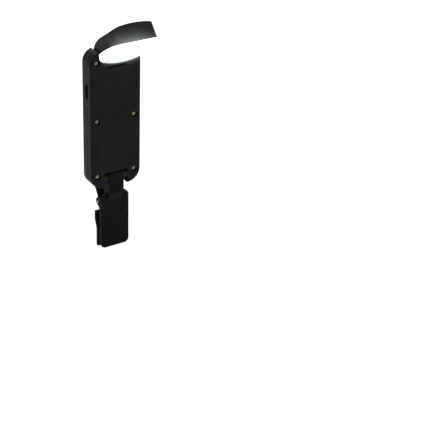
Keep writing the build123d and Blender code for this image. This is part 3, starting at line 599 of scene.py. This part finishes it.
# %% Dome and cross
HEAD_RADIUS, HEAD_DEPTH, DOME_RISE = 1.35, 0.55, 0.4
CROSS_REACH, CROSS_HALF, CROSS_DEPTH = 0.85, 0.2, 0.45


def head_height(across, down):
    """Height of the head over its seat, in millimetres. The arms are deepest at their middle."""
    dome = HEAD_DEPTH + DOME_RISE * (1 - (math.hypot(across, down) / HEAD_RADIUS) ** 2)
    near_arm = min(abs(across), abs(down))
    in_cross = near_arm < CROSS_HALF and max(abs(across), abs(down)) < CROSS_REACH
    return dome - (CROSS_DEPTH * (1 - near_arm / CROSS_HALF / 2) if in_cross else 0.0)


def piece(name, points, faces, finish, smooth=True):
    """An object from points in millimetres."""
    mesh = bpy.data.meshes.new(name)
    mesh.from_pydata([tuple(v * MM for v in point) for point in points], [], faces)
    mesh.polygons.foreach_set("use_smooth", [smooth] * len(mesh.polygons))
    mesh.materials.append(finish)
    made = bpy.data.objects.new(name, mesh)
    bpy.context.scene.collection.objects.link(made)
    print(name, "has", len(mesh.polygons), "faces")
    return made


print("head", round(head_height(0, CROSS_REACH), 2), "mm high beside the end of its cross")

# %% [markdown]
# A screw is then walked outward in rings: over the dome, down the side of the head and along
# the shank. A lathe modifier could spin the outline, but it could not follow the cross. Each
# screw stopped at its own angle, as real ones do.

# %% Five pan-head screws
SHANK_RADIUS, SHANK_LENGTH = 0.8, 8.9
RINGS, SPOKES = 14, 48
FIRST_TURN, NEXT_TURN = 0.5, 1.1


def cover_screw(name, seat, turn):
    seat_x, seat_y, seat_z = seat
    points, faces = [(seat_x, seat_y - head_height(0, 0), seat_z)], []
    rings = [(HEAD_RADIUS * (step + 1) / RINGS, None) for step in range(RINGS)]
    rings += [(HEAD_RADIUS, 0.0), (SHANK_RADIUS, 0.0), (SHANK_RADIUS, -SHANK_LENGTH)]
    for radius, level in rings:
        for spoke in range(SPOKES):
            angle = 2 * math.pi * spoke / SPOKES
            u, v = radius * math.cos(angle), radius * math.sin(angle)
            height = head_height(u, v) if level is None else level
            x = seat_x + u * math.cos(turn) - v * math.sin(turn)
            z = seat_z + u * math.sin(turn) + v * math.cos(turn)
            points.append((x, seat_y - height, z))
    starts = [1 + SPOKES * number for number in range(len(rings))]
    for spoke in range(SPOKES):
        after = (spoke + 1) % SPOKES
        faces.append((0, starts[0] + spoke, starts[0] + after))
        for inner, outer in zip(starts, starts[1:]):
            faces.append((inner + spoke, outer + spoke, outer + after, inner + after))
    faces.append(tuple(range(starts[-1], starts[-1] + SPOKES)))
    made = piece(name, points, faces, SCREW_STEEL)
    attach(made, "slab")
    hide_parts("cover_screws")


for count, seat in enumerate(SEATS):
    cover_screw(f"cover_screw_{count + 1}", seat, FIRST_TURN + NEXT_TURN * count)

# %% [markdown]
# ## Lining of the ear screw's pocket
# The pocket of the ear screw comes within a hair of the trough that the lamp's barrel turns
# in. On the real part the wall between them is whole, so a thin cup lines this pocket and
# keeps the light of the panel out of it. The wall could be thickened with a boolean, but the
# solid is not touched here, and a cup is quick: a closed profile carried round an axis.

# %% A thin cup round the ear screw
CUP_STEPS, CUP_RADIUS, CUP_WALL, CUP_HEIGHT, CUP_FLOOR, SHANK_GAP = 48, 2.1, 0.2, 1.2, 0.03, 0.02


def pocket_lining():
    x, y, z = max(SEATS, key=lambda seat: seat[2])
    inner, hole = CUP_RADIUS - CUP_WALL, SHANK_RADIUS + SHANK_GAP
    outline = [
        (CUP_RADIUS, y + CUP_WALL), (CUP_RADIUS, y - CUP_HEIGHT), (inner, y - CUP_HEIGHT),
        (inner, y - CUP_FLOOR), (hole, y - CUP_FLOOR), (hole, y + CUP_WALL),
    ]
    turns = [2 * math.pi * step / CUP_STEPS for step in range(CUP_STEPS)]
    points = [
        (x + radius * math.cos(turn), deep, z + radius * math.sin(turn))
        for radius, deep in outline for turn in turns
    ]
    faces = []
    for ring in range(len(outline)):
        near, far = ring * CUP_STEPS, (ring + 1) % len(outline) * CUP_STEPS
        for step in range(CUP_STEPS):
            after = (step + 1) % CUP_STEPS
            faces.append((near + step, near + after, far + after, far + step))
    made = piece("ear_pocket_lining", points, faces, COVER_ABS, smooth=False)
    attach(made, "slab")


pocket_lining()

# %% [markdown]
# ## Jaw spring
# A torsion spring is a wound wire: one arm leans on the frame of the clip, three turns go
# round the pin and the other arm pushes the thumb lever. The solid one is made of short
# straight runs. A screw modifier could wind a wire too, but the two arms would have to be
# joined on, so one line of points carries the whole wire.

# %% Line of the spring wire
COIL_RADIUS, COIL_PITCH, COIL_TURNS, TURN_STEPS = 2.0, 1.2, 3, 24
PIN_Y, PIN_Z = 3.5, 26.0
FRAME_ARM = [(-0.85, 19.5), (5.0, 22.5)]
LEVER_ARM = [(5.5, 29.5), (10.1, 34.6)]

half = COIL_PITCH * COIL_TURNS / 2
wire_line = [(-half, y, z) for y, z in FRAME_ARM]
for step in range(COIL_TURNS * TURN_STEPS + 1):
    turn = 2 * math.pi * step / TURN_STEPS
    y, z = PIN_Y + COIL_RADIUS * math.cos(turn), PIN_Z + COIL_RADIUS * math.sin(turn)
    wire_line.append((COIL_PITCH * step / TURN_STEPS - half, y, z))
wire_line += [(half, y, z) for y, z in LEVER_ARM]
print("points of the spring wire:", len(wire_line), "over", 2 * half, "mm along the pin")

# %% [markdown]
# A curve with a round bevel is the quickest way to an even wire. It becomes a mesh.

# %% Wound spring
WIRE_RADIUS = 0.35


def jaw_spring():
    curve = bpy.data.curves.new("spring_wire_line", "CURVE")
    curve.dimensions = "3D"
    curve.bevel_depth = WIRE_RADIUS * MM
    curve.bevel_resolution = 3
    curve.use_fill_caps = True
    spline = curve.splines.new("POLY")
    spline.points.add(len(wire_line) - 1)
    for point, place in zip(spline.points, wire_line):
        point.co = (*(v * MM for v in place), 1.0)
    wire = bpy.data.objects.new("spring_wire_line", curve)
    mesh = bpy.data.meshes.new_from_object(wire)
    bpy.data.objects.remove(wire)
    mesh.polygons.foreach_set("use_smooth", [True] * len(mesh.polygons))
    mesh.materials.clear()
    mesh.materials.append(WIRE_STEEL)
    made = bpy.data.objects.new("wound_jaw_spring", mesh)
    bpy.context.scene.collection.objects.link(made)
    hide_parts("jaw_spring")
    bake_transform(made)
    print("faces of the spring:", len(mesh.polygons))


jaw_spring()

# %% [markdown]
# ## Floor
# A plain pale floor under the light. It has to look white to the camera and still take the
# soft shadow of the object. More lamp light would whiten it, but would also turn the black
# plastic grey, so the floor gets a little light of its own, for camera rays only.

# %% Pale floor
FLOOR_HALF, FLOOR_GAP, FLOOR_MOTTLE_MM, FLOOR_LIFT = 3.0, 0.2, 60.0, 0.55
FLOOR_COLOURS = {"A": linear("#F1F1F1"), "B": linear("#F6F6F6")}


def floor_finish():
    made, tree = material("studio_floor", Roughness=0.9)
    where = node(tree, "TexCoord", "Object")
    mottle = node(tree, "TexNoise", "Fac", Vector=where, Scale=per(FLOOR_MOTTLE_MM))
    drive(made, Base_Color=node(tree, "Mix", "Result", COLOURS, Factor=mottle, **FLOOR_COLOURS))
    lit = tree.nodes["Principled BSDF"].outputs["BSDF"]
    own = node(tree, "Emission", "Emission", Color=(1, 1, 1, 1), Strength=FLOOR_LIFT)
    both = node(tree, "AddShader", "Shader", i0=lit, i1=own)
    camera_ray = node(tree, "LightPath", "Is Camera Ray")
    chosen = node(tree, "MixShader", "Shader", Fac=camera_ray, i1=lit, i2=both)
    tree.links.new(chosen, tree.nodes["Material Output"].inputs["Surface"])
    return made


def floor():
    low, far = cad_box[0][2] - FLOOR_GAP * MM, FLOOR_HALF
    corners = [(-far, -far, low), (far, -far, low), (far, far, low), (-far, far, low)]
    mesh = bpy.data.meshes.new("studio_floor")
    mesh.from_pydata(corners, [], [(0, 1, 2, 3)])
    mesh.materials.append(floor_finish())
    made = bpy.data.objects.new("studio_floor", mesh)
    bpy.context.scene.collection.objects.link(made)
    print("floor at", round(low / MM, 1), "mm")


floor()

# %% [markdown]
# ## World
# A white card behind the object would do for a backdrop, but it would also light the black
# plastic from all round. So the world is white at full strength only to the camera and through
# clear pieces, and half as strong to everything else, and the plastic keeps its depth.

# %% Backdrop
SURROUND_LIGHT, BACKDROP_LIGHT = 0.5, 1.0


def world():
    made = bpy.data.worlds.new("studio")
    made.use_nodes = True
    tree = made.node_tree
    camera_ray = node(tree, "LightPath", "Is Camera Ray")
    clear_ray = node(tree, "LightPath", "Is Transmission Ray")
    seen = node(tree, "Math", "Value", LARGER, i0=camera_ray, i1=clear_ray)
    strength = node(
        tree, "MapRange", "Result", Value=seen, To_Min=SURROUND_LIGHT, To_Max=BACKDROP_LIGHT
    )
    background = tree.nodes["Background"]
    background.inputs["Color"].default_value = (1, 1, 1, 1)
    tree.links.new(strength, background.inputs["Strength"])
    bpy.context.scene.world = made


world()
bpy.context.scene.view_settings.view_transform = "Standard"
print("surroundings at", SURROUND_LIGHT, "and backdrop at", BACKDROP_LIGHT)

# %% [markdown]
# ## Lamps
# A soft key from the upper left shows the side with the socket, a weaker fill from the right
# lifts the face, and a lamp behind draws a fine line along the edges. Point lamps would leave
# hard dots on a satin black, and square area lamps give the soft edges of a light box. They
# are weak because the object is small and near.

# %% Key, fill and rim
TARGET = Vector((0, 0, 0.09))
LAMPS = {
    "key": ((-0.55, -0.45, 0.75), 0.5, 2.5),
    "fill": ((0.75, -0.6, 0.35), 0.6, 2.0),
    "rim": ((0.2, 0.7, 0.6), 0.5, 1.8),
}
for name, (place, size, watts) in LAMPS.items():
    data = bpy.data.lights.new(name, "AREA")
    data.shape = "SQUARE"
    data.size = size
    data.energy = watts
    lamp = bpy.data.objects.new(name, data)
    lamp.location = place
    lamp.rotation_euler = (TARGET - Vector(place)).to_track_quat("-Z", "Y").to_euler()
    bpy.context.scene.collection.objects.link(lamp)
    print(name, "lamp of", watts, "W")

# %% [markdown]
# ## Camera
# Corners and screws of the slab were matched to the photograph, which gives a long lens from
# the front left, 29 degrees above the light and about 0.95 m away, with the picture leaning
# two degrees. A shift of the lens could place the light in the picture. Instead the camera
# slides and lifts in its own plane, so that other views aren't off centre.

# %% Camera
AZIMUTH, ELEVATION, LEAN = -33.63, 29.37, 2.10
DISTANCE, SLIDE, LIFT = 0.9535, 0.0698, -0.0658
PIXELS, FOCAL_PIXELS, SENSOR_MM = 430, 1407.8, 36.0
NEAREST = 0.01

azimuth, elevation, lean = (math.radians(v) for v in (AZIMUTH, ELEVATION, LEAN))
level = Vector((math.cos(azimuth), math.sin(azimuth), 0))
away = Vector((math.sin(azimuth), -math.cos(azimuth), 0))
back = away * math.cos(elevation) + Vector((0, 0, math.sin(elevation)))
upright = back.cross(level)
right = level * math.cos(lean) + upright * math.sin(lean)
up = upright * math.cos(lean) - level * math.sin(lean)
place = TARGET + back * DISTANCE + right * SLIDE + up * LIFT

lens = bpy.data.cameras.new("photo_camera")
lens.sensor_width = SENSOR_MM
lens.lens = FOCAL_PIXELS / PIXELS * SENSOR_MM
lens.clip_start = NEAREST
camera = bpy.data.objects.new("photo_camera", lens)
camera.matrix_world = Matrix((
    (right.x, up.x, back.x, place.x),
    (right.y, up.y, back.y, place.y),
    (right.z, up.z, back.z, place.z),
    (0, 0, 0, 1),
))
bpy.context.scene.collection.objects.link(camera)
bpy.context.scene.camera = camera
print("lens of", round(lens.lens), "mm at", [round(v, 3) for v in place])
